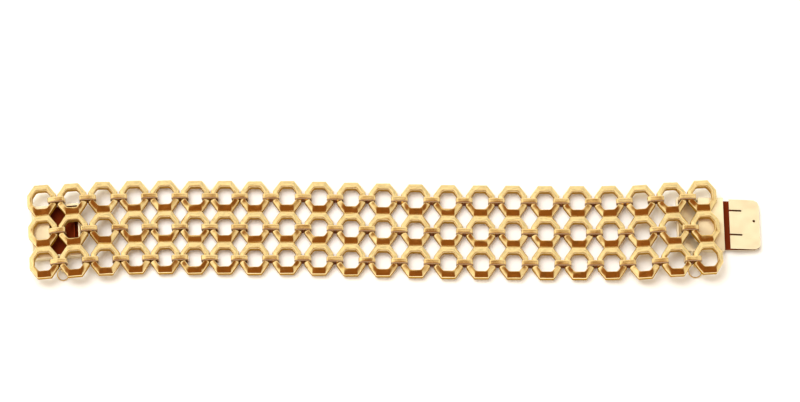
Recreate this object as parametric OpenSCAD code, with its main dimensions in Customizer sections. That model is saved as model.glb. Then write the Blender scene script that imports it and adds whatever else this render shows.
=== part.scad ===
// Three-row gold bracelet of octagonal links, opened and laid flat.
// Each column of three links is soldered into one stiff panel. Thin strap links wrap the side walls
// of neighbouring panels, so the bracelet bends only along its length. The first panel is soldered on
// a flat clasp box with its mouth at the left end, and the last on a base with a folded spring tongue.
// Lengths are millimetres and angles degrees. X runs along the bracelet, Y across it, Z up.
// The origin is on the surface that the bracelet lies on, under the middle of its outline.

/* [Links] */
// Length of one octagonal link, along the bracelet
link_l = 7.6; // [7.5:0.02:7.62]
// Distance between the middles of two rows, across the bracelet
row_pitch = 8.6; // [8.56:0.02:8.64]
// Breadth of the walls that the strap links wrap
side_wall = 1.36; // [1.3:0.02:1.38]
// Breadth of the walls between two rows
row_wall = 1.83; // [1.75:0.02:1.9]
// Breadth of the narrow slope from the ridge down into the opening
bevel = 0.2; // [0.1:0.02:0.24]
// Height of a link at its ridge, beside the opening
ridge_h = 1.95; // [1.9:0.05:2]
// Height of a link at the edge of its opening
inner_h = 1.75; // [1.6:0.05:1.8]
// Height of a link at its outer edge
edge_h = 1.4; // [1.2:0.05:1.45]
// Length that each corner takes off the flat side of the link
corner_x = 2; // [1.8:0.05:2.2]
// Length that each corner takes off the end of the link
corner_y = 2.83; // [2.6:0.05:2.9]
// Corners of the opening, as a share of the outer ones
opening_share = 0.6; // [0.58:0.005:0.6]

/* [Straps] */
// Width of a strap link, across the bracelet
strap_w = 1.5; // [1.3:0.02:1.5]
// Thickness of its sheet
strap_t = 0.26; // [0.24:0.01:0.26]
// Length of the slot inside a strap link
strap_slot = 3.9; // [3.88:0.01:3.92]
// How far the strap links have slid along the walls, towards the front
strap_slide = 0.12; // [0:0.02:0.12]
// Room above and below the walls that a strap link wraps
play = 0.12; // [0.12:0.01:0.14]

/* [Clasp] */
// Height of the clasp box and of the tongue's base
block_h = 2.4; // [2.4:0.05:2.5]
// Width of both, across the bracelet
block_w = 14.5; // [14:0.1:14.5]
// Thickness of their sheet
sheet = 0.35; // [0.3:0.01:0.36]
// How far the box sits off the middle row's centre line
box_off = 0.25; // [0:0.05:0.3]
// How far the tongue and its base sit off the middle row's centre line
tongue_off = 1.3; // [1.2:0.05:1.35]
// Turn of the tongue and its base, seen from above
tongue_turn = -0.5; // [-1:0.1:0]
// Thickness of the folded spring strip
spring_t = 0.35; // [0.3:0.01:0.36]
// Width of the folded spring strip
spring_w = 13.7; // [13.4:0.1:13.7]
// Angle at which the upper leaf springs open
leaf_rise = 5; // [4:0.5:6]

/* [Safety chain ends] */
// Thickness of the eyes' wire
eye_wire = 0.44; // [0.4:0.02:0.46]
// Thickness of the small links' wire
link_wire = 0.6; // [0.5:0.02:0.62]
// Thickness of the end rings' wire
ring_wire = 0.4; // [0.35:0.05:0.4]

/* [Hidden] */
first = 1;
last = 22;
rows = [1, 0, -1];

// Columns of the table below
STEP = 0;    // distance along X from the column before
ACROSS = 1;  // place across Y
RISE = 2;    // share of the climb from the surface to the top of the clasp
TURN = 3;    // turn seen from above, counter-clockwise
FALL = 4;    // slope downwards to the right
LAID = [
    [0.00, -1.15, 1.000,  5.2,  0.0],
    [7.95, -0.75, 1.000,  5.2,  1.0],
    [7.78,  0.02, 0.635,  4.8, 10.0],
    [7.95,  0.72, 0.153,  3.8,  4.8],
    [7.98,  0.90, 0.000,  2.5,  0.0],
    [7.88,  0.78, 0.000,  1.5,  0.0],
    [7.78,  0.79, 0.000,  1.1,  0.0],
    [7.86,  0.66, 0.000,  1.0,  0.0],
    [8.50,  0.74, 0.000,  0.7,  0.0],
    [8.40,  0.52, 0.000,  0.5,  0.0],
    [8.40,  0.28, 0.000,  0.3,  0.0],
    [8.40,  0.04, 0.000,  0.1,  0.0],
    [8.53, -0.20, 0.000,  0.0,  0.0],
    [8.53, -0.41, 0.000, -0.1,  0.0],
    [8.53, -0.52, 0.000,  0.0,  0.0],
    [8.53, -0.59, 0.000,  0.0,  0.0],
    [8.53, -0.68, 0.000,  0.0,  0.0],
    [8.53, -0.70, 0.000,  0.1,  0.0],
    [8.50, -0.76, 0.148,  0.6, -4.5],
    [8.34, -0.95, 0.647,  1.2, -9.0],
    [8.02, -0.50, 1.000,  1.9, -0.5],
    [8.22,  0.14, 1.000,  2.8,  0.0],
];
// Place of the first column that centres the bracelet on the origin
start_x = -91.58;
start_y = 0.15;

// Small overlap that joins soldered pieces into one solid
solder = 0.03;
// Length by which a cut reaches past what it cuts, and the room that a cut in the leaf keeps below it
past = 4;
cut_room = 0.1;
// Gap that the resting panels keep over the clasp
clear = 0.08;
rest_z = strap_t + play;
link_w = row_pitch + 2 * solder;
strap_h = ridge_h + 2 * play + 2 * strap_t;
strap_l = strap_slot + 2 * strap_t;
strap_round = 0.4;

// Along X from the first panel's middle
mouth_x = -2.95;
box_end = 9.55;
window_x = 1.62;
stop_x = 7.85;
lip_l = 1;
lip_drop = 0.45;
flange = 0.6;
// Along X from the last panel's middle
base_start = -7.15;
base_end = 5.07;
base_window_end = -1.6;
tongue_end = 14.63;
leaf_start = 6.57;
tongue_z = 0.45;
fold_r = 0.62;
tongue_corner = 1.8;
slit_l = 3.3;
slit_w = 0.5;
slits_y = [3.7, -3];
hole_d = 0.75;
hole_at = [13.03, 0.95];

// Safety chain ends: place along X from the panel's middle, length of the small link between the
// middles of its two ends, radius of the ring
left_end_x = 4.5;
left_link = 3;
left_ring_r = 1.5;
right_end_x = -2.7;
right_link = 3.57;
right_ring_r = 1.78;
eye_r = 0.75;
eye_z = 0.95;
small_link_r = 0.7;
small_link_z = 0.97;
small_link_roll = 30;
ring_room = 0.62;

gold = "#d9a441";
pale_gold = "#dcc06a";

function pad(i) = str(i < 10 ? "0" : "", i);
function panel_node(i) = str("panel_", pad(i));
function straps_node(i) = str("straps_", pad(i));

// Place of column i
function laid(i, what) = LAID[i - 1][what];
function along(i) = i <= first ? start_x : along(i - 1) + laid(i, STEP);
function across(i) = start_y + laid(i, ACROSS);
function height(i) =
    i == first || i == last
        ? block_h - solder
        : rest_z + laid(i, RISE) * (block_h + clear - rest_z);

// Height of a panel's underside at the middle of its right wall (side 1) or left wall (side -1)
wall_mid = link_l / 2 - side_wall / 2;
function wall_z(i, side) = height(i) - side * wall_mid * sin(laid(i, FALL));

// Middle of one link of column i, in row r
function link_middle(i, r) =
    [along(i) - r * row_pitch * sin(laid(i, TURN)), across(i) + r * row_pitch * cos(laid(i, TURN))];

module at_column(i) {
    translate([along(i), across(i), height(i)])
        rotate([0, laid(i, FALL), laid(i, TURN)])
            children();
}

module at_clasp(i) {
    translate([along(i), across(i), 0])
        rotate([0, 0, i == last ? tongue_turn : laid(i, TURN)])
            translate([0, i == last ? tongue_off : box_off, 0])
                children();
}

// Octagon of half sizes a and b whose corners take cx and cy off its sides
function octagon(a, b, cx, cy) = [
    [a, cy - b], [a, b - cy], [a - cx, b], [cx - a, b],
    [-a, b - cy], [-a, cy - b], [cx - a, -b], [a - cx, -b]
];

half_l = link_l / 2;
half_w = link_w / 2;
ridge_l = half_l - side_wall + bevel;
ridge_w = half_w - row_wall + bevel;
// The edge of the opening is the ridge's outline, a little smaller
shrink = 1 - bevel / ridge_l;

function raised(points, z, share) = [for (p = points) [share * p[0], share * p[1], z]];

// One octagonal link: low outer edge, wide slope up to the ridge, narrow slope into the opening
module link() {
    outer = octagon(half_l, half_w, corner_x, corner_y);
    ridge = octagon(ridge_l, ridge_w, opening_share * corner_x, opening_share * corner_y);
    loops = [
        raised(outer, 0, 1),
        raised(outer, edge_h, 1),
        raised(ridge, ridge_h, 1),
        raised(ridge, inner_h, shrink),
        raised(ridge, 0, shrink)
    ];
    levels = len(loops);
    n = len(outer);
    polyhedron(
        points = [for (loop = loops) each loop],
        faces = [
            for (level = [0 : levels - 1], k = [0 : n - 1])
                let (a = level * n, b = ((level + 1) % levels) * n, m = (k + 1) % n)
                    [a + k, b + k, b + m, a + m]
        ]
    );
}

// Three links soldered side by side
module panel() {
    color(gold)
        for (r = rows)
            translate([0, r * row_pitch, 0])
                link();
}

// Rectangle l by h, its middle at the origin, with corners rounded to r in n steps
function rounded(l, h, r, n) = [
    for (corner = [[1, 1, 0], [-1, 1, 90], [-1, -1, 180], [1, -1, 270]], k = [0 : n])
        let (a = corner[2] + 90 * k / n)
            [corner[0] * (l / 2 - r) + r * cos(a), corner[1] * (h / 2 - r) + r * sin(a)]
];

// One strap link, standing on Z = 0
module strap() {
    translate([0, 0, strap_h / 2])
        rotate([90, 0, 0])
            linear_extrude(height = strap_w, center = true)
                difference() {
                    polygon(rounded(strap_l, strap_h, strap_round, 3));
                    polygon(rounded(strap_slot, strap_h - 2 * strap_t, strap_round - strap_t, 1));
                }
}

// The three strap links between columns i and i + 1
module straps(i) {
    turn = (laid(i, TURN) + laid(i + 1, TURN)) / 2;
    left_z = wall_z(i, 1);
    right_z = wall_z(i + 1, -1);
    span = laid(i + 1, STEP) - 2 * wall_mid;
    fall = atan((left_z - right_z) / span);
    color(gold)
        for (r = rows) {
            slid = strap_slide * [sin(turn), -cos(turn)];
            middle = (link_middle(i, r) + link_middle(i + 1, r)) / 2 + slid;
            // A strap hangs level with its walls, but no lower than the surface
            low = max((left_z + right_z) / 2 - play - strap_t, strap_l / 2 * sin(abs(fall)));
            translate([middle[0], middle[1], low])
                rotate([0, fall, turn])
                    strap();
        }
}

// Block with its first corner at x and z, lying evenly about the clasp's middle line
module block(x, l, w, z, h) {
    translate([x, -w / 2, z])
        cube([l, w, h]);
}

// Half-buried wire eye on the side wall of the clasp, level, at x along the panel
module eye(x) {
    translate([x, -block_w / 2 - eye_r + eye_wire / 4, eye_z])
        rotate_extrude($fn = 48)
            translate([eye_r, 0])
                circle(d = eye_wire, $fn = 24);
}

// Clasp box, mouth to the left, with the first panel and one eye soldered on
module clasp_box() {
    length = box_end - mouth_x;
    inside_w = block_w - 2 * sheet;
    at_column(first)
        panel();
    color(pale_gold)
        at_clasp(first) {
            difference() {
                block(mouth_x, length, block_w, 0, block_h);
                block(mouth_x - past, length + past - sheet, inside_w, sheet, block_h - 2 * sheet);
                block(window_x, box_end - sheet - window_x, block_w - 2 * flange, block_h / 2, block_h);
            }
            block(mouth_x, lip_l, inside_w + sheet, block_h - sheet - lip_drop, lip_drop + solder);
            block(stop_x, sheet, inside_w + sheet, sheet - solder, block_h - 2 * sheet - 2 * lip_drop);
            eye(left_end_x);
        }
}

// Profile of the folded strip: out along the bottom, round the fold, back up along the leaf
function fold_arc(r, a0, a1, n) = [
    for (k = [0 : n])
        let (a = a0 + (a1 - a0) * k / n)
            [tongue_end - fold_r + r * cos(a), tongue_z + fold_r + r * sin(a)]
];
module folded_strip() {
    inner_r = fold_r - spring_t;
    top = 90 - leaf_rise;
    leaf_l = (tongue_end - fold_r - leaf_start) / cos(leaf_rise);
    leaf = leaf_l * [-cos(leaf_rise), sin(leaf_rise)];
    outer = fold_arc(fold_r, -90, top, 8);
    inner = fold_arc(inner_r, top, -90, 6);
    rotate([90, 0, 0])
        linear_extrude(height = spring_w, center = true)
            polygon(concat(
                [[base_end - sheet / 2, tongue_z]],
                outer,
                [outer[8] + leaf, inner[0] + leaf],
                inner,
                [[base_end - sheet / 2, tongue_z + spring_t]]
            ));
}

// The strip's outline from above: square at the base, round corners at the fold
module tongue_outline() {
    r = tongue_corner;
    x = tongue_end - r;
    y = spring_w / 2 - r;
    polygon(concat(
        [[0, -y - r]],
        [for (a = [-90 : 30 : 0]) [x + r * cos(a), -y + r * sin(a)]],
        [for (a = [0 : 30 : 90]) [x + r * cos(a), y + r * sin(a)]],
        [[0, y + r]]
    ));
}

module spring_tongue() {
    difference() {
        intersection() {
            folded_strip();
            linear_extrude(height = past)
                tongue_outline();
        }
        for (y = slits_y)
            translate([leaf_start - past, y - slit_w / 2, tongue_z + 2 * fold_r - spring_t - cut_room])
                cube([slit_l + past, slit_w, past]);
        translate([hole_at[0], hole_at[1], tongue_z + spring_t + cut_room])
            cylinder(d = hole_d, h = past, $fn = 32);
    }
}

// Base of the tongue, with the last panel, the folded spring and one eye soldered on
module clasp_tongue() {
    length = base_end - base_start;
    inside_w = block_w - 2 * sheet;
    at_column(last)
        panel();
    color(pale_gold)
        at_clasp(last) {
            difference() {
                block(base_start, length, block_w, 0, block_h);
                block(base_start + sheet, length - 2 * sheet, inside_w, sheet, block_h - 2 * sheet);
                // The straps of the outer rows pass over the low side walls here
                block(base_start + sheet, base_window_end - base_start - sheet,
                      block_w + past, block_h / 2, block_h);
            }
            spring_tongue();
            eye(right_end_x);
        }
}

// Small link of round wire, hanging in an eye, with its length along -Y
module small_link(length) {
    r = small_link_r;
    rotate([90, 0, -90])
        translate([r, 0, 0]) {
            for (end = [0, 1])
                translate([end * (length - 2 * r), 0, 0])
                    rotate([0, 0, end ? -90 : 90])
                        rotate_extrude(angle = 180, $fn = 48)
                            translate([r, 0])
                                circle(d = link_wire, $fn = 24);
            for (y = [-r, r])
                translate([0, y, 0])
                    rotate([0, 90, 0])
                        cylinder(d = link_wire, h = length - 2 * r, $fn = 24);
        }
}

// Where the middle of the eye's hole is, across from the clasp's middle line
eye_y = -block_w / 2 - eye_r + eye_wire / 4;

module safety_link(i, x, length) {
    color(pale_gold)
        at_clasp(i)
            translate([x, eye_y, small_link_z])
                rotate([0, small_link_roll, 0])
                    small_link(length);
}

// End ring round the outer end of the small link, its far side down on the surface
module safety_ring(i, x, length, r) {
    lean = asin((small_link_z - ring_wire / 2) / (2 * r));
    color(pale_gold)
        at_clasp(i)
            translate([x, eye_y - length + ring_room, small_link_z])
                rotate([lean, 0, 0])
                    translate([0, -r, 0])
                        rotate_extrude($fn = 48)
                            translate([r, 0])
                                circle(d = ring_wire, $fn = 24);
}

clasp_box();
clasp_tongue();
for (i = [first + 1 : last - 1])
    at_column(i) panel();
for (i = [first : last - 1])
    straps(i);
safety_link(first, left_end_x, left_link);  // safety_link_left
safety_ring(first, left_end_x, left_link, left_ring_r);  // safety_ring_left
safety_link(last, right_end_x, right_link);  // safety_link_right
safety_ring(last, right_end_x, right_link, right_ring_r);  // safety_ring_right
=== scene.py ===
import math

import bpy
import numpy as np
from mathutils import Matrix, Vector


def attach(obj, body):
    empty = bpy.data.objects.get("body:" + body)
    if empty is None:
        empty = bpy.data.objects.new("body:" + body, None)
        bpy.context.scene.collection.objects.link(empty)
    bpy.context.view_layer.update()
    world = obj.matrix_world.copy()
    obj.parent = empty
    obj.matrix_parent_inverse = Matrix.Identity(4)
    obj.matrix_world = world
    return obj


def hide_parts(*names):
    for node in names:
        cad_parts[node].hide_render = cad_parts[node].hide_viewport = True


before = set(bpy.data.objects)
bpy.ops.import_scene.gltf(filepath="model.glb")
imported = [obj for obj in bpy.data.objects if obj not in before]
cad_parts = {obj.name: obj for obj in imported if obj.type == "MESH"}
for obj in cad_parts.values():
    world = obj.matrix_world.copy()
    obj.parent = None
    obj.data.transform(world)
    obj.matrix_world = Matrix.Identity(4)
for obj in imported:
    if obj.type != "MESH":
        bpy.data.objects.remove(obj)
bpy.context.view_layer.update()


# Links of the panels
# Each is a solid gold ring with eight flat sides: an upright outer wall, a wide, slightly domed slope
# up to a ridge beside the opening, and a tight round edge into it. Three are soldered side by side
# across the bracelet, and the first and last three are also soldered down on the clasp.
MM = 0.001
# Half sizes along and across the bracelet of a link and of its ridge, and what each of the link's
# corners takes off its sides
LINK_HALF = (3.8 * MM, 4.33 * MM)
RIDGE_HALF = (2.64 * MM, 2.7 * MM)
LINK_CORNER = (2.0 * MM, 2.83 * MM)
# Corners at the ridge as a share of the outer ones, and size of the opening as a share of the ridge
RIDGE_CORNER_SHARE = 0.6
OPENING_SHARE = 0.924
ROWS = (-1, 0, 1)
ROW_PITCH = 8.6 * MM
# Profile of the wall, from the outer foot over the ridge to the inner foot: place (0 at the outer
# edge, 1 at the ridge, 2 at the edge of the opening), then height and rounding of the eight corners,
# both in millimetres
LINK_PROFILE = (
    (0.040, 0.00, 0.20),
    (0.000, 0.06, 0.20),
    (0.000, 1.20, 0.20),
    (0.011, 1.31, 0.20),
    (0.043, 1.40, 0.20),
    (0.079, 1.46, 0.20),
    (0.115, 1.50, 0.20),
    (0.300, 1.63, 0.22),
    (0.500, 1.745, 0.27),
    (0.700, 1.839, 0.33),
    (0.850, 1.893, 0.38),
    (0.950, 1.919, 0.42),
    (1.050, 1.930, 0.44),
    (1.300, 1.925, 0.46),
    (1.600, 1.885, 0.48),
    (1.850, 1.790, 0.49),
    (2.000, 1.640, 0.50),
    (2.000, 0.06, 0.50),
    (1.850, 0.00, 0.50),
)
# The upright walls carry painted shade, a warm dark colour in place of the shade inside the
# opening and along the outer foot: where each starts in the profile, counted from 0, and how much
# painted shade it has
WALL_PAINTED_SHADE = {1: 1.0, 16: 0.9}
CORNER_STEPS = 5
# How far from a corner its two extra points lie, in roundings
CORNER_SUPPORT = 1.6


def octagons(half, cut, rounding):
    """Octagons with round corners, one for each row of half and cut. Every corner C becomes the
    parabola C + r((1-t)^2 a + t^2 b), where r is the rounding and a and b are the unit vectors along
    its two sides, and one more point follows on each side."""
    x, y = half[:, 0:1], half[:, 1:2]
    cx, cy = cut[:, 0:1], cut[:, 1:2]
    corners = np.stack([
        np.hstack([x, x, x - cx, cx - x, -x, -x, cx - x, x - cx]),
        np.hstack([cy - y, y - cy, y, y, y - cy, cy - y, -y, -y]),
    ], -1)
    back = np.roll(corners, 1, 1) - corners
    ahead = np.roll(corners, -1, 1) - corners
    back /= np.linalg.norm(back, axis=2, keepdims=True)
    ahead /= np.linalg.norm(ahead, axis=2, keepdims=True)
    t = np.linspace(0, 1, CORNER_STEPS + 1)
    along_back = np.concatenate([[CORNER_SUPPORT], (1 - t) ** 2, [0]])[:, None]
    along_ahead = np.concatenate([[0], t**2, [CORNER_SUPPORT]])[:, None]
    r = rounding[:, None, None, None]
    points = (
        corners[:, :, None, :]
        + r * along_back * back[:, :, None, :]
        + r * along_ahead * ahead[:, :, None, :]
    )
    return points.reshape(len(half), -1, 2)


def grid_faces(rows, columns, ring=False):
    """Faces of a grid of points numbered row by row, as one array of corners and one of face sizes.
    Every row closes on itself. As a ring, the last row also joins the first. Otherwise one flat face
    closes each end."""
    r = np.arange(rows if ring else rows - 1)[:, None]
    c = np.arange(columns)[None, :]
    r2, c2 = (r + 1) % rows, (c + 1) % columns
    quads = np.stack([r * columns + c, r * columns + c2, r2 * columns + c2, r2 * columns + c], -1)
    corners, sizes = quads.reshape(-1), np.full(quads.size // 4, 4)
    if not ring:
        row = np.arange(columns)
        corners = np.concatenate([corners, row[::-1], row + (rows - 1) * columns])
        sizes = np.append(sizes, [columns, columns])
    return corners, sizes


def link_shell():
    """One link about its own middle, its foot at height 0: the profile carried round the octagon,
    whose size goes in a straight line from the outer edge to the ridge and on to the opening."""
    place, height, rounding = np.array(LINK_PROFILE).T
    outer, ridge = np.array(LINK_HALF), np.array(RIDGE_HALF)
    rise = np.clip(place, 0, 1)[:, None]
    shrink = 1 + (OPENING_SHARE - 1) * np.clip(place - 1, 0, 1)[:, None]
    half = (outer + (ridge - outer) * rise) * shrink
    cut = np.array(LINK_CORNER) * (1 + (RIDGE_CORNER_SHARE - 1) * rise) * shrink
    loops = octagons(half, cut, rounding * MM)
    z = np.broadcast_to(height[:, None, None] * MM, loops.shape[:2] + (1,))
    grid = np.concatenate([loops, z], 2)
    return grid.reshape(-1, 3), *grid_faces(*grid.shape[:2], ring=True)


def joined(shells):
    """One shell from several; a shell is points, corners of its faces and sizes of its faces."""
    before = np.cumsum([0] + [len(points) for points, _, _ in shells[:-1]])
    return (
        np.concatenate([points for points, _, _ in shells]),
        np.concatenate([corners + start for (_, corners, _), start in zip(shells, before)]),
        np.concatenate([sizes for _, _, sizes in shells]),
    )


def mesh_of(name, shell):
    """A mesh from a shell."""
    points, corners, sizes = shell
    mesh = bpy.data.meshes.new(name)
    mesh.vertices.add(len(points))
    mesh.vertices.foreach_set("co", np.ascontiguousarray(points, np.float32).ravel())
    mesh.loops.add(len(corners))
    mesh.loops.foreach_set("vertex_index", corners.astype(np.int32))
    mesh.polygons.add(len(sizes))
    mesh.polygons.foreach_set("loop_start", (np.cumsum(sizes) - sizes).astype(np.int32))
    mesh.update(calc_edges=True)
    return mesh


SHARP_FROM = math.radians(35)


def make_piece(name, shell, material, slot, *nodes, painted_shade=None):
    """An object at the origin from a shell, in place of these CAD nodes. Edges from the angle
    SHARP_FROM on look sharp. The last argument, if given, says how much painted shade each face
    has: a dark colour that stands in for shade."""
    mesh = mesh_of(name, shell)
    mesh.polygons.foreach_set("use_smooth", np.ones(len(mesh.polygons), bool))
    mesh.set_sharp_from_angle(angle=SHARP_FROM)
    mesh.materials.append(material)
    if painted_shade is not None:
        kept = mesh.attributes.new("painted_shade_share", "FLOAT", "FACE")
        kept.data.foreach_set("value", painted_shade.astype(np.float32))
    piece = bpy.data.objects.new(name, mesh)
    bpy.context.scene.collection.objects.link(piece)
    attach(piece, "root")
    if nodes:
        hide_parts(*nodes)


def nodes_called(*starts):
    """The CAD nodes whose names start like this, by name."""
    return [(name, node) for name, node in sorted(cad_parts.items()) if name.startswith(starts)]


# Decimals of a metre up to which two points of a CAD node are the same
SAME_POINT = 7


def corners_of(node):
    """The different points of a CAD node, in metres."""
    points = np.empty(len(node.data.vertices) * 3)
    node.data.vertices.foreach_get("co", points)
    points = points.reshape(-1, 3)
    _, first = np.unique(np.round(points, SAME_POINT), axis=0, return_index=True)
    return points[first]


def lie_of(points, order, up=(0, 0, 1)):
    """How a form lies that is symmetric about its own axes: its middle, its axes (as rows: along,
    across, up), and its least and greatest reach along them. The axes are the principal axes of its
    points, and order names them from the longest to the shortest."""
    middle = points.mean(0)
    spread = np.linalg.svd(points - middle, full_matrices=False)[2]
    axes = np.empty((3, 3))
    for name, axis in zip(order, spread):
        axes["xyz".index(name)] = axis
    axes[0] *= np.sign(axes[0, 0])
    axes[2] *= np.sign(axes[2] @ np.array(up))
    axes[1] = np.cross(axes[2], axes[0])
    reach = (points - middle) @ axes.T
    return middle, axes, reach.min(0), reach.max(0)


def feed(tree, node, inputs):
    """Gives a shader node its inputs: a plain value is set, another node's output is linked."""
    for socket, given in inputs.items():
        if isinstance(given, bpy.types.NodeSocket):
            tree.links.new(given, node.inputs[socket])
        else:
            node.inputs[socket].default_value = given


def add_node(tree, kind, inputs, **settings):
    """A new shader node with these inputs; settings are its own choices."""
    node = tree.nodes.new(f"ShaderNode{kind}")
    for name, setting in settings.items():
        setattr(node, name, setting)
    feed(tree, node, inputs)
    return node


# Grain of the polish, in waves per metre. Scratches run in two directions: how far each is turned,
# in degrees, and how many times finer the grain is across it
SCRATCHES = ((35, 14.0), (-50, 18.0))
SCRATCH_GRAIN = 420.0
SCRATCH_DEPTH = 0.02 * MM
WAVE_GRAIN = 210.0
PATCH_GRAIN = 260.0
# Roughness of the best and the worst patches as shares of the usual one, where in the patches'
# noise the tarnish starts and is full, and what it leaves of the red, green and blue
PATCH_POLISH = (0.6, 1.5)
TARNISH_STARTS, TARNISH_FULL = 0.5, 0.8
TARNISH_TINT = (0.72, 0.55, 0.4)


def gold(name, colour, roughness, scratches, tarnish, waves=0.0, dull=0.0, painted_shade=None):
    """Polished gold, all on Object coordinates: bump is fine scratches over slow waves, and the
    polish is uneven in patches, some of them tarnished. Dull is the share of its light that clean
    gold scatters. The last argument is the colour of painted shade, which stands in for shade and
    scatters all of its light, and a face attribute says how much of it each face has."""
    material = bpy.data.materials.new(name)
    material.use_nodes = True
    tree = material.node_tree
    place = tree.nodes.new("ShaderNodeTexCoord").outputs["Object"]
    grains = []
    for turned, finer in SCRATCHES:
        along = add_node(tree, "Mapping", {
            "Vector": place, "Rotation": (0, 0, math.radians(turned)), "Scale": (1, finer, 1),
        })
        grain = add_node(tree, "TexNoise", {
            "Vector": along.outputs["Vector"], "Scale": SCRATCH_GRAIN, "Detail": 3.0,
        })
        grains.append(grain.outputs["Fac"])
    both = add_node(tree, "Math", dict(enumerate(grains)), operation="ADD")
    scratched = add_node(tree, "Bump", {
        "Height": both.outputs["Value"], "Strength": scratches, "Distance": SCRATCH_DEPTH,
    })
    swell = add_node(tree, "TexNoise", {"Vector": place, "Scale": WAVE_GRAIN, "Detail": 1.0})
    wavy = add_node(tree, "Bump", {
        "Height": swell.outputs["Fac"], "Strength": 1.0, "Distance": waves,
        "Normal": scratched.outputs["Normal"],
    })
    patches = add_node(tree, "TexNoise", {"Vector": place, "Scale": PATCH_GRAIN, "Detail": 4.0})
    polish = add_node(tree, "MapRange", {
        "Value": patches.outputs["Fac"],
        "To Min": roughness * PATCH_POLISH[0], "To Max": roughness * PATCH_POLISH[1],
    })
    tarnished = add_node(tree, "MapRange", {
        "Value": patches.outputs["Fac"],
        "From Min": TARNISH_STARTS, "From Max": TARNISH_FULL, "To Max": tarnish,
    })
    seen = add_node(tree, "Mix", {
        "Factor": tarnished.outputs["Result"], "A": (*colour, 1),
        "B": (*(c * left for c, left in zip(colour, TARNISH_TINT)), 1),
    }, data_type="RGBA")
    metallic = 1.0 - dull
    if painted_shade:
        # Painted shade, mixed in face by face in place of shade
        shade_share = add_node(tree, "Attribute", {}, attribute_name="painted_shade_share").outputs["Fac"]
        seen = add_node(tree, "Mix", {
            "Factor": shade_share, "A": seen.outputs["Result"], "B": (*painted_shade, 1),
        }, data_type="RGBA")
        shiny = add_node(tree, "MapRange", {"Value": shade_share, "To Min": metallic, "To Max": 0.0})
        metallic = shiny.outputs["Result"]
    # There is no varnish, so the only gloss is the metal's own
    feed(tree, tree.nodes["Principled BSDF"], {
        "Base Color": seen.outputs["Result"],
        "Metallic": metallic,
        "Roughness": polish.outputs["Result"],
        "Normal": wavy.outputs["Normal"],
        "Specular IOR Level": 0.0,
    })
    return material


# Colour of the painted shade on the links' upright walls: warm dark brown in place of shade
WARM_PAINTED_SHADE = (0.42, 0.22, 0.02)
LINK_GOLD = gold(
    "link gold", (0.955, 0.78, 0.44), roughness=0.15, scratches=0.22, tarnish=0.25, waves=0.9 * MM,
    painted_shade=WARM_PAINTED_SHADE,
)
link_points, *link_faces = link_shell()
# How much painted shade each face of a link has, by its wall
link_painted_shade = np.repeat(
    [WALL_PAINTED_SHADE.get(level, 0.0) for level in range(len(LINK_PROFILE))],
    len(link_points) // len(LINK_PROFILE),
)
# A clasp node has a panel soldered on it. Above this height it has only the links' tops, from the
# outer edge upwards, and this is how high that edge is above the link's foot
SOLDER_HEIGHT = 3.0 * MM
EDGE_HEIGHT = 1.4 * MM

clasp_lie = {}
for name, node in nodes_called("clasp", "panel"):
    on_clasp = name.startswith("clasp")
    points = corners_of(node)
    if on_clasp:
        points = points[points[:, 2] > SOLDER_HEIGHT]
    middle, axes, least, _ = lie_of(points, "yxz")
    foot = middle + (least[2] - (EDGE_HEIGHT if on_clasp else 0.0)) * axes[2]
    panel = joined([
        (foot + (link_points + np.array([0, row * ROW_PITCH, 0])) @ axes, *link_faces)
        for row in ROWS
    ])
    panel_name = name.replace("clasp_box", "panel_01").replace("clasp_tongue", "panel_22")
    covers = [] if on_clasp else [name]
    panel_painted_shade = np.tile(link_painted_shade, len(ROWS))
    make_piece(f"links_{panel_name}", panel, LINK_GOLD, "gold", *covers, painted_shade=panel_painted_shade)
    if on_clasp:
        clasp_lie[name] = (foot, axes)


# Strap links
# Each is a flat strip of gold, bent and soldered to a closed loop round two side walls, with two
# shallow grooves drawn along its outer face. Its top sinks a little towards the ends.
STRAP_LENGTH = 4.42 * MM
STRAP_HEIGHT = 2.71 * MM
STRAP_WIDTH = 1.5 * MM
STRAP_SHEET = 0.26 * MM
STRAP_ROUND = 0.42 * MM
STRAP_SAG = 0.28 * MM
# How far a strap has slid forwards on its walls from where its CAD node has it
STRAP_SLID = 0.12 * MM
# Half the width of the middle row, which tells the rows of straps apart
ROW_BORDER = 4.2 * MM
BEND_STEPS = 5
FLAT_STEPS = 6
# Section of the flat strip, outer face first: place across as a share of the half width, depth below
# the outer face as a share of the thickness
STRAP_SECTION = (
    (-1.0, 0.66),
    (-0.96, 0.50),
    (-0.66, 0.03),
    (-0.58, 0.0),
    (-0.36, 0.0),
    (-0.28, 0.20),
    (-0.20, 0.0),
    (0.20, 0.0),
    (0.28, 0.20),
    (0.36, 0.0),
    (0.66, 0.0),
    (0.76, 0.03),
    (0.96, 0.35),
    (1.0, 0.60),
    (1.0, 0.85),
    (0.9, 1.0),
    (-0.9, 1.0),
    (-1.0, 0.85),
)
# Painted shade on the faces in the lower half, in place of the shade under the strap, and on
# those nearer the front edge than this share of the half width, in place of the dark line of
# shadow along it
LOW_PAINTED_SHADE = 0.9
FRONT_PAINTED_SHADE = 0.7
FRONT_FROM = 0.65


def rounded_loop(length, height, rounding):
    """Closed rectangles with round corners, one row for each rounding: quarter circles in
    BEND_STEPS, and the two long sides straight in FLAT_STEPS."""
    quarter = np.linspace(0, np.pi / 2, BEND_STEPS + 1)
    share = np.linspace(0, 1, FLAT_STEPS + 1)[1:-1]
    xs, zs = [], []
    for sx, sz, start in ((1, 1, 0), (-1, 1, 1), (-1, -1, 2), (1, -1, 3)):
        angle = quarter + start * np.pi / 2
        xs.append(sx * (length / 2 - rounding) + rounding * np.cos(angle))
        zs.append(sz * (height / 2 - rounding) + rounding * np.sin(angle))
        if sx == sz:
            xs.append(sx * (length / 2 - rounding) * (1 - 2 * share))
            zs.append(np.broadcast_to(sz * height / 2, (len(rounding), len(share))))
    return np.concatenate(xs, 1), np.concatenate(zs, 1)


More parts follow.
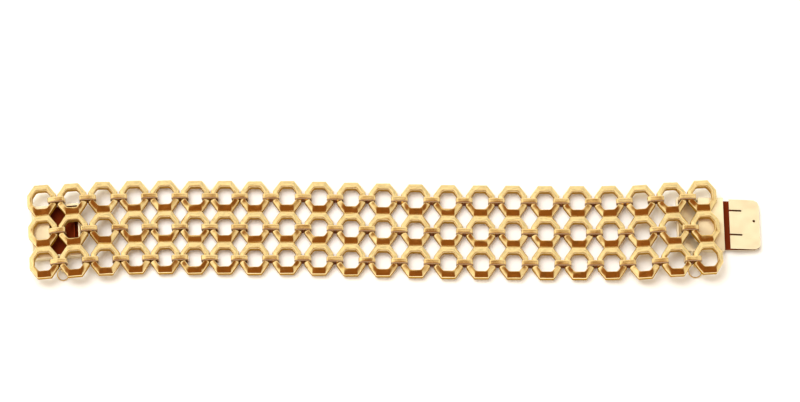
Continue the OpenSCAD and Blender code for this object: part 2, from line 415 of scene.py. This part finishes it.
def strap_shell():
    """The strap's section carried round its loop; depth below the outer face shrinks the loop. The
    upper run sinks by STRAP_SAG |2x/length|^3."""
    share, depth = np.array(STRAP_SECTION).T
    depth = depth[:, None] * STRAP_SHEET
    x, z = rounded_loop(STRAP_LENGTH - 2 * depth, STRAP_HEIGHT - 2 * depth, STRAP_ROUND - depth)
    upper = np.clip(z / (STRAP_HEIGHT / 2), 0, 1)
    z = z - STRAP_SAG * upper * np.abs(2 * x / STRAP_LENGTH) ** 3
    y = np.broadcast_to(share[:, None] * STRAP_WIDTH / 2, x.shape)
    grid = np.stack([x, y, z], -1)
    corners, sizes = grid_faces(*grid.shape[:2], ring=True)
    return grid.reshape(-1, 3), corners[::-1], sizes


# Colour of the painted shade on the straps and in the clasp's hollows: almost black brown in place of
# deep shade
DARK_PAINTED_SHADE = (0.16, 0.022, 0.005)
STRAP_GOLD = gold(
    "strap gold", (0.99, 0.81, 0.46), roughness=0.17, scratches=0.3, tarnish=0.2, waves=0.7 * MM,
    painted_shade=DARK_PAINTED_SHADE,
)
strap_points, strap_corners, strap_sizes = strap_shell()
starts = np.cumsum(strap_sizes) - strap_sizes
highest = np.maximum.reduceat(strap_points[strap_corners], starts)
# Painted shade on the strap's lower run and along its front edge
strap_painted_shade = np.maximum(
    LOW_PAINTED_SHADE * (highest[:, 2] < 0),
    FRONT_PAINTED_SHADE * (highest[:, 1] < -FRONT_FROM * STRAP_WIDTH / 2),
)
for name, node in nodes_called("straps"):
    points = corners_of(node)
    rows = np.digitize(points[:, 1], [-ROW_BORDER, ROW_BORDER])
    straps = []
    for row in range(len(ROWS)):
        middle, axes, _, _ = lie_of(points[rows == row], "xzy")
        lying = middle + (strap_points - np.array([0, STRAP_SLID, 0])) @ axes
        straps.append((lying, strap_corners, strap_sizes))
    straps_painted_shade = np.tile(strap_painted_shade, len(ROWS))
    make_piece(f"links_{name}", joined(straps), STRAP_GOLD, "gold", name, painted_shade=straps_painted_shade)


# Clasp box
# A flat box folded and soldered from sheet gold, open at its mouth, with a hanging lip there, an
# end wall inside that catches the spring, and a window in its top. Its edges are worn round, and a
# wire eye is soldered to its front wall.
# Places along a clasp part are counted from the middle of the panel soldered on it, and aside is
# how far the part lies behind the middle line of that panel
CLASP_HEIGHT = 2.4 * MM
CLASP_HALF_WIDTH = 7.25 * MM
SHEET = 0.35 * MM
INNER_HALF_WIDTH = CLASP_HALF_WIDTH - SHEET
WORN = 0.09 * MM
WORN_STEPS = 3
BOX_START, BOX_END = -2.95 * MM, 9.55 * MM
BOX_WINDOW_START, BOX_WINDOW_END = 1.62 * MM, BOX_END - 1.2 * SHEET
BOX_STOP = 7.85 * MM
BOX_ASIDE = 0.25 * MM
BOX_EYE_X = 4.5 * MM
LIP_LENGTH, LIP_DROP = 1.0 * MM, 0.45 * MM
WINDOW_RIM = 0.6 * MM
EYE_RADIUS, EYE_WIRE = 0.75 * MM, 0.22 * MM
EYE_Y = -CLASP_HALF_WIDTH - EYE_RADIUS + EYE_WIRE / 2
EYE_HEIGHT = 0.95 * MM
EYE_STEPS = 40
WIRE_SIDES = 14
# How far a soldered part sinks into the next, how far a cut reaches past what it cuts, and how near
# to a wall counts as on it
SUNK = 0.02 * MM
CLEAR = 1.0 * MM
NEAR = 0.01 * MM


def block_shell(low, high, rounding):
    """A block with round edges: rounded rectangles stacked along Z, closed by flat ends. Towards an
    end, they draw in and their corners tighten on a quarter circle."""
    low, high = np.array(low), np.array(high)
    middle, half = (low + high) / 2, (high - low) / 2
    quarter = np.linspace(0, np.pi / 2, WORN_STEPS + 1)
    lift = np.concatenate([-np.cos(quarter), np.cos(quarter[::-1])])
    inset = np.concatenate([1 - np.sin(quarter), 1 - np.sin(quarter[::-1])])
    z = np.sign(lift) * (half[2] - rounding) + rounding * lift
    z[WORN_STEPS], z[WORN_STEPS + 1] = rounding - half[2], half[2] - rounding
    reach = rounding * (1 - inset[:, None])
    corner = []
    for sx, sy, start in ((1, 1, 0), (-1, 1, 1), (-1, -1, 2), (1, -1, 3)):
        angle = quarter + start * np.pi / 2
        corner.append(np.stack([
            sx * (half[0] - rounding) + reach * np.cos(angle),
            sy * (half[1] - rounding) + reach * np.sin(angle),
        ], -1))
    loop = np.concatenate(corner, 1)
    grid = np.concatenate([loop, np.broadcast_to(z[:, None, None], loop.shape[:2] + (1,))], 2)
    return grid.reshape(-1, 3) + middle, *grid_faces(*grid.shape[:2])


def cut_away(shell, cuts):
    """The shell with the cuts taken away."""
    solids = []
    for part in (shell, *cuts):
        solids.append(bpy.data.objects.new("solid", mesh_of("solid", part)))
        bpy.context.scene.collection.objects.link(solids[-1])
    for solid in solids[1:]:
        cut = solids[0].modifiers.new("cut", "BOOLEAN")
        cut.operation, cut.solver, cut.object = "DIFFERENCE", "EXACT", solid
    left = solids[0].evaluated_get(bpy.context.evaluated_depsgraph_get()).to_mesh()
    points = np.empty(3 * len(left.vertices), np.float32)
    corners = np.empty(len(left.loops), np.int32)
    sizes = np.empty(len(left.polygons), np.int32)
    left.vertices.foreach_get("co", points)
    left.loops.foreach_get("vertex_index", corners)
    left.polygons.foreach_get("loop_total", sizes)
    for solid in solids:
        bpy.data.objects.remove(solid, do_unlink=True)
    return points.reshape(-1, 3).astype(float), corners, sizes


def wire_shell(path, up, radius, sides):
    """A round wire along a flat closed path: path + radius (cos v n + sin v up), where up is the
    normal of the path's plane and n points across the path in that plane."""
    ahead = np.roll(path, -1, 0) - np.roll(path, 1, 0)
    ahead /= np.linalg.norm(ahead, axis=1, keepdims=True)
    up = np.array(up, float)
    n = np.cross(up, ahead)
    v = np.linspace(0, 2 * np.pi, sides, endpoint=False)[None, :, None]
    grid = path[:, None] + radius * (np.cos(v) * n[:, None] + np.sin(v) * up)
    return grid.reshape(-1, 3), *grid_faces(len(path), sides, ring=True)


def circle_path(middle, radius, steps):
    """Level circle: middle + radius (cos u, sin u, 0)."""
    u = np.linspace(0, 2 * np.pi, steps, endpoint=False)
    return np.array(middle) + radius * np.stack([np.cos(u), np.sin(u), 0 * u], -1)


def eye_shell(x):
    """Round wire eye half sunk in the front wall."""
    path = circle_path((x, EYE_Y, EYE_HEIGHT), EYE_RADIUS, EYE_STEPS)
    return wire_shell(path, (0, 0, 1), EYE_WIRE, WIRE_SIDES)


def face_middles(shell):
    """Mean of each face's corners."""
    points, corners, sizes = shell
    starts = np.cumsum(sizes) - sizes
    return np.add.reduceat(points[corners], starts, axis=0) / sizes[:, None]


def placed(shell, lie, turned, aside):
    """A shell given on the clasp's own axes, put where its CAD node is, with its foot at height 0:
    level, turned by so many degrees from its panel and moved aside across it."""
    foot, axes = lie
    points, *faces = shell
    turn = math.atan2(axes[0, 1], axes[0, 0]) + math.radians(turned)
    along, across = (math.cos(turn), math.sin(turn), 0), (-math.sin(turn), math.cos(turn), 0)
    level = np.array([along, across, (0, 0, 1)])
    return np.array([foot[0], foot[1], 0]) + (points + np.array([0, aside, 0])) @ level, *faces


CLASP_GOLD = gold(
    "clasp gold", (0.93, 0.84, 0.62), roughness=0.16, scratches=0.3, tarnish=0.1, waves=0.2 * MM,
    dull=0.44, painted_shade=DARK_PAINTED_SHADE,
)
box_hollow = block_shell(
    (BOX_START - CLEAR, -INNER_HALF_WIDTH, SHEET),
    (BOX_END - SHEET, INNER_HALF_WIDTH, CLASP_HEIGHT - SHEET),
    WORN,
)
box_window = block_shell(
    (BOX_WINDOW_START, -CLASP_HALF_WIDTH + WINDOW_RIM, CLASP_HEIGHT / 2),
    (BOX_WINDOW_END, CLASP_HALF_WIDTH - WINDOW_RIM, CLASP_HEIGHT + CLEAR),
    WORN,
)
box_walls = cut_away(
    block_shell((BOX_START, -CLASP_HALF_WIDTH, 0), (BOX_END, CLASP_HALF_WIDTH, CLASP_HEIGHT), WORN),
    [box_hollow, box_window],
)
box_lip = block_shell(
    (BOX_START + SUNK, -INNER_HALF_WIDTH - SUNK, CLASP_HEIGHT - SHEET - LIP_DROP),
    (BOX_START + LIP_LENGTH, INNER_HALF_WIDTH + SUNK, CLASP_HEIGHT - SHEET + SUNK),
    WORN,
)
box_stop = block_shell(
    (BOX_STOP, -INNER_HALF_WIDTH - SUNK, SHEET - SUNK),
    (BOX_STOP + SHEET, INNER_HALF_WIDTH + SUNK, CLASP_HEIGHT - 2 * SHEET),
    WORN,
)
box = joined([box_walls, box_lip, box_stop, eye_shell(BOX_EYE_X)])
# The inside gets painted shade, a dark colour in place of the shade within the box
x, y, z = face_middles(box).T
box_inside = (
    (np.abs(y) < INNER_HALF_WIDTH + NEAR)
    & (z > SHEET - WORN / 2)
    & (z < CLASP_HEIGHT - SHEET + NEAR)
    & (x > BOX_START + SUNK)
    & (x < BOX_END - SHEET + NEAR)
)
box_placed = placed(box, clasp_lie["clasp_box"], 0.0, BOX_ASIDE)
make_piece("box_body", box_placed, CLASP_GOLD, "gold", "clasp_box", painted_shade=box_inside)


# Clasp tongue
# A flat hollow base like the box, and a strip of springy gold folded back over itself, whose upper
# leaf springs open. Two slits and a slot free the leaf, and a small hole is drilled near the fold.
BASE_START, BASE_END = -7.15 * MM, 5.07 * MM
BASE_WINDOW_END = -1.6 * MM
BASE_EYE_X = -2.7 * MM
TONGUE_ASIDE = 1.3 * MM
TONGUE_TURNED = -3.3
LEAF_START = 6.57 * MM
LEAF_RISE = math.radians(5)
FOLD_END = 14.63 * MM
FOLD_RADIUS = 0.62 * MM
STRIP_LOW = 0.45 * MM
STRIP_SHEET = 0.35 * MM
STRIP_HALF_WIDTH = 6.85 * MM
STRIP_CORNER = 1.8 * MM
STRIP_BULGE = 0.05 * MM
SLITS = (3.7 * MM, -3.0 * MM)
SLIT_LENGTH, SLIT_HALF, SLIT_ROUND = 3.3 * MM, 0.25 * MM, 0.2 * MM
HOLE = (13.03 * MM, 0.95 * MM)
HOLE_RADIUS = 0.375 * MM
# A cut through the leaf starts this far below the leaf, or above the lower strip, and is this high
CUT_START = 0.1 * MM
CUT_HEIGHT = 3.0 * MM
HOLE_STEPS = 28
FOLD_STEPS = 14
LEAF_STEPS = 10
ACROSS_STEPS = 24
EDGE_STEPS = 6


def strip_shell():
    """The folded strip: out along the bottom, round the fold and back up along the leaf. A point is
    path + depth * normal, and its place across is a share of the half width at that x, which a
    quarter circle takes in at the outer corners. The side edges are half ellipses."""
    middle_radius = FOLD_RADIUS - STRIP_SHEET / 2
    centre = np.array([FOLD_END - FOLD_RADIUS, STRIP_LOW + FOLD_RADIUS])
    bend = np.linspace(-np.pi / 2, np.pi / 2 - LEAF_RISE, FOLD_STEPS + 1)
    round_bend = np.stack([np.cos(bend), np.sin(bend)], 1)
    arc = centre + middle_radius * round_bend
    start = np.array([BASE_END - SHEET / 2, arc[0, 1]])
    out = start + (arc[0] - start) * np.linspace(0, 1, LEAF_STEPS)[:-1, None]
    leaf_length = (arc[-1, 0] - LEAF_START) / math.cos(LEAF_RISE)
    leaf = np.array([-math.cos(LEAF_RISE), math.sin(LEAF_RISE)])
    back = arc[-1] + leaf * leaf_length * np.linspace(0, 1, LEAF_STEPS)[1:, None]
    path = np.concatenate([out, arc, back])
    normal = np.concatenate([
        np.tile([0, -1], (len(out), 1)),
        round_bend,
        np.tile([math.sin(LEAF_RISE), math.cos(LEAF_RISE)], (len(back), 1)),
    ])
    across = np.linspace(-1, 1, ACROSS_STEPS + 1)
    edge = np.linspace(np.pi / 2, -np.pi / 2, EDGE_STEPS + 1)[1:-1]
    flat, side = np.ones(len(across)), np.ones(len(edge))
    share = np.concatenate([across, side, -across, -side])
    depth = STRIP_SHEET / 2 * np.concatenate([flat, np.sin(edge), -flat, -np.sin(edge)])
    bulge = STRIP_BULGE * np.concatenate([0 * flat, np.cos(edge), 0 * flat, -np.cos(edge)])
    x = path[:, None, 0] + depth * normal[:, None, 0]
    z = path[:, None, 1] + depth * normal[:, None, 1]
    past = np.clip(x - (FOLD_END - STRIP_CORNER), 0, STRIP_CORNER)
    width = STRIP_HALF_WIDTH - STRIP_BULGE - STRIP_CORNER + np.sqrt(STRIP_CORNER**2 - past**2)
    grid = np.stack([x, share * width + bulge, z], -1)
    return grid.reshape(-1, 3), *grid_faces(*grid.shape[:2])


def drill_shell(x, y, low, high, radius):
    """Upright cylinder with flat ends."""
    ring = circle_path((x, y, 0), radius, HOLE_STEPS)
    points = np.concatenate([ring + np.array([0, 0, z]) for z in (low, high)])
    return points, *grid_faces(2, HOLE_STEPS)


base_hollow = block_shell(
    (BASE_START + SHEET, -INNER_HALF_WIDTH, SHEET),
    (BASE_END - SHEET, INNER_HALF_WIDTH, CLASP_HEIGHT - SHEET),
    WORN,
)
base_window = block_shell(
    (BASE_START + SHEET, -CLASP_HALF_WIDTH - CLEAR, CLASP_HEIGHT / 2),
    (BASE_WINDOW_END, CLASP_HALF_WIDTH + CLEAR, CLASP_HEIGHT + CLEAR),
    WORN,
)
base_walls = cut_away(
    block_shell((BASE_START, -CLASP_HALF_WIDTH, 0), (BASE_END, CLASP_HALF_WIDTH, CLASP_HEIGHT), WORN),
    [base_hollow, base_window],
)
leaf_low = STRIP_LOW + 2 * FOLD_RADIUS - STRIP_SHEET
slit_low = leaf_low - CUT_START
slits = [
    block_shell(
        (LEAF_START - CLEAR, y - SLIT_HALF, slit_low),
        (LEAF_START + SLIT_LENGTH, y + SLIT_HALF, slit_low + CUT_HEIGHT),
        SLIT_ROUND,
    )
    for y in SLITS
]
hole_low = STRIP_LOW + STRIP_SHEET + CUT_START
hole = drill_shell(*HOLE, hole_low, hole_low + CUT_HEIGHT, HOLE_RADIUS)
strip = cut_away(strip_shell(), [*slits, hole])
tongue = joined([base_walls, strip, eye_shell(BASE_EYE_X)])
# Between the strip's two leaves it gets painted shade, a dark colour in place of the shade in the
# narrow gap
x, _, z = face_middles(tongue).T
between_leaves = (
    (z > STRIP_LOW + STRIP_SHEET - SUNK)
    & (z < leaf_low + (FOLD_END - FOLD_RADIUS - x) * math.tan(LEAF_RISE) + SUNK)
    & (x > BASE_END - NEAR)
    & (x < FOLD_END - STRIP_SHEET + NEAR)
)
tongue_placed = placed(tongue, clasp_lie["clasp_tongue"], TONGUE_TURNED, TONGUE_ASIDE)
make_piece("tongue_body", tongue_placed, CLASP_GOLD, "gold", "clasp_tongue", painted_shade=between_leaves)


# Ends of the safety chain
# A short thick link of gold wire hangs in each eye, with a thin round ring in it. Both are bent
# round and soldered closed, and lie loosely where their CAD nodes lie.
LINK_BEND = 0.7 * MM
LINK_WIRE = 0.3 * MM
RING_WIRE = 0.2 * MM
BEND_POINTS = 18
RING_STEPS = 56
RING_SIDES = 12
# Roughly the upper side of the tilted links and rings
END_UP = (0, 0.2, 1)


def long_path(length, radius, bend_points):
    """Closed path of two half circles and two straight runs, along its own X."""
    u = np.linspace(-np.pi / 2, np.pi / 2, bend_points)
    half = length / 2 - radius
    right = np.stack([half + radius * np.cos(u), radius * np.sin(u), 0 * u], -1)
    left = np.stack([-half - radius * np.cos(u), -radius * np.sin(u), 0 * u], -1)
    return np.concatenate([right, left])


END_GOLD = gold("end ring gold", (0.95, 0.82, 0.55), roughness=0.14, scratches=0.2, tarnish=0.2)
for name, node in nodes_called("safety"):
    middle, axes, least, most = lie_of(corners_of(node), "xyz", up=END_UP)
    middle = middle + (least + most) / 2 @ axes
    length = most[0] - least[0]
    if "link" in name:
        path = long_path(length - 2 * LINK_WIRE, LINK_BEND, BEND_POINTS)
        wire_points, *wire_faces = wire_shell(path, (0, 0, 1), LINK_WIRE, WIRE_SIDES)
    else:
        path = circle_path((0, 0, 0), length / 2 - RING_WIRE, RING_STEPS)
        wire_points, *wire_faces = wire_shell(path, (0, 0, 1), RING_WIRE, RING_SIDES)
    make_piece(f"end_{name}", (middle + wire_points @ axes, *wire_faces), END_GOLD, "pale_gold", name)


# Table
# A pale matt board without a pattern, large enough to fill the view. It is one flat face at height
# 0, where the bracelet lies on it, and no part of the bracelet.
TABLE_HALF = 2.5
TABLE_COLOUR = (0.86, 0.86, 0.86)
TABLE_ROUGHNESS = 0.9
table_paint = bpy.data.materials.new("pale table")
table_paint.use_nodes = True
feed(table_paint.node_tree, table_paint.node_tree.nodes["Principled BSDF"], {
    "Base Color": (*TABLE_COLOUR, 1), "Roughness": TABLE_ROUGHNESS,
})
table_mesh = bpy.data.meshes.new("table")
table_corners = [(x * TABLE_HALF, y * TABLE_HALF, 0) for x, y in ((-1, -1), (1, -1), (1, 1), (-1, 1))]
table_mesh.from_pydata(table_corners, [], [(0, 1, 2, 3)])
table_mesh.materials.append(table_paint)
table = bpy.data.objects.new("table", table_mesh)
scene = bpy.context.scene
scene.collection.objects.link(table)


# Room and lamps
# A bright warm room, dark only behind the camera, lighter on the left and uneven as rooms are. A
# soft lamp on the upper left lights the table, and a weak one in front fills the shadows. The gold
# shows the room and not the lamps.
CAMERA_ELEVATION = math.radians(69.3)
TO_CAMERA = (0, -math.cos(CAMERA_ELEVATION), math.sin(CAMERA_ELEVATION))
# Colours of the room by the angle from the direction of the camera, in degrees
ROOM_COLOURS = (
    (0, (0.255, 0.085, 0.0134)),
    (29, (0.27, 0.095, 0.02)),
    (35, (0.40, 0.23, 0.09)),
    (41.4, (0.78, 0.57, 0.33)),
    (46, (0.95, 0.80, 0.56)),
    (52, (1.0, 0.88, 0.66)),
    (62, (1.0, 0.90, 0.69)),
)
ROOM_LEFT, ROOM_RIGHT = 1.2, 0.85
# Grain of the unevenness, the part of its noise that counts, and the least and greatest brightness
UNEVEN_GRAIN = 4.5
UNEVEN_NOISE = (0.35, 0.65)
UNEVEN_LIGHT = (0.76, 1.26)
# Name, size in metres, power in watts and place
LAMPS = (
    ("soft lamp", 1.3, 30, (-0.5, 0.55, 1.38)),
    ("weak lamp in front", 1.0, 3.5, (0.35, -0.85, 0.95)),
)
LAMP_COLOUR = (0.93, 0.98, 1.0)

scene.world = bpy.data.worlds.new("room")
scene.world.use_nodes = True
room = scene.world.node_tree
look = room.nodes.new("ShaderNodeTexCoord").outputs["Generated"]
near = add_node(room, "VectorMath", {0: look, 1: TO_CAMERA}, operation="DOT_PRODUCT")
by_angle = add_node(room, "ValToRGB", {"Fac": near.outputs["Value"]})
stops = by_angle.color_ramp.elements
stops[0].position, stops[0].color = 0.0, (*ROOM_COLOURS[-1][1], 1)
stops[1].position, stops[1].color = 1.0, (*ROOM_COLOURS[0][1], 1)
for angle, colour in ROOM_COLOURS[1:]:
    stops.new(math.cos(math.radians(angle))).color = (*colour, 1)
sideways = add_node(room, "SeparateXYZ", {"Vector": look})
slant = add_node(room, "MapRange", {
    "Value": sideways.outputs["X"], "From Min": -1.0, "To Min": ROOM_LEFT, "To Max": ROOM_RIGHT,
})
things = add_node(room, "TexNoise", {"Vector": look, "Scale": UNEVEN_GRAIN, "Detail": 2.0})
uneven = add_node(room, "MapRange", {
    "Value": things.outputs["Fac"],
    "From Min": UNEVEN_NOISE[0], "From Max": UNEVEN_NOISE[1],
    "To Min": UNEVEN_LIGHT[0], "To Max": UNEVEN_LIGHT[1],
})
strength = add_node(
    room, "Math", {0: slant.outputs["Result"], 1: uneven.outputs["Result"]}, operation="MULTIPLY",
)
feed(room, room.nodes["Background"], {
    "Color": by_angle.outputs["Color"], "Strength": strength.outputs["Value"],
})

for name, size, power, place in LAMPS:
    light = bpy.data.lights.new(name, "AREA")
    light.size = size
    light.energy = power
    light.color = LAMP_COLOUR
    lamp = bpy.data.objects.new(name, light)
    lamp.location = place
    lamp.rotation_euler = (-Vector(place)).to_track_quat("-Z", "Y").to_euler()
    lamp.visible_glossy = False
    scene.collection.objects.link(lamp)


# Camera
# It looks down on the bracelet from the front, as steeply as in the photograph, with a long lens.
# It aims at the table a little behind and to the right of the bracelet's middle.
CAMERA_DISTANCE = 0.6
AIM = Vector((1.74 * MM, 8.75 * MM, 0))
LENS, SENSOR = 102.2, 36.0
camera_data = bpy.data.cameras.new("camera")
camera_data.lens = LENS
camera_data.sensor_width = SENSOR
camera = bpy.data.objects.new("camera", camera_data)
camera.location = AIM + CAMERA_DISTANCE * Vector(TO_CAMERA)
camera.rotation_euler = (-Vector(TO_CAMERA)).to_track_quat("-Z", "Y").to_euler()
scene.collection.objects.link(camera)
scene.camera = camera
scene.view_settings.view_transform = "Standard"
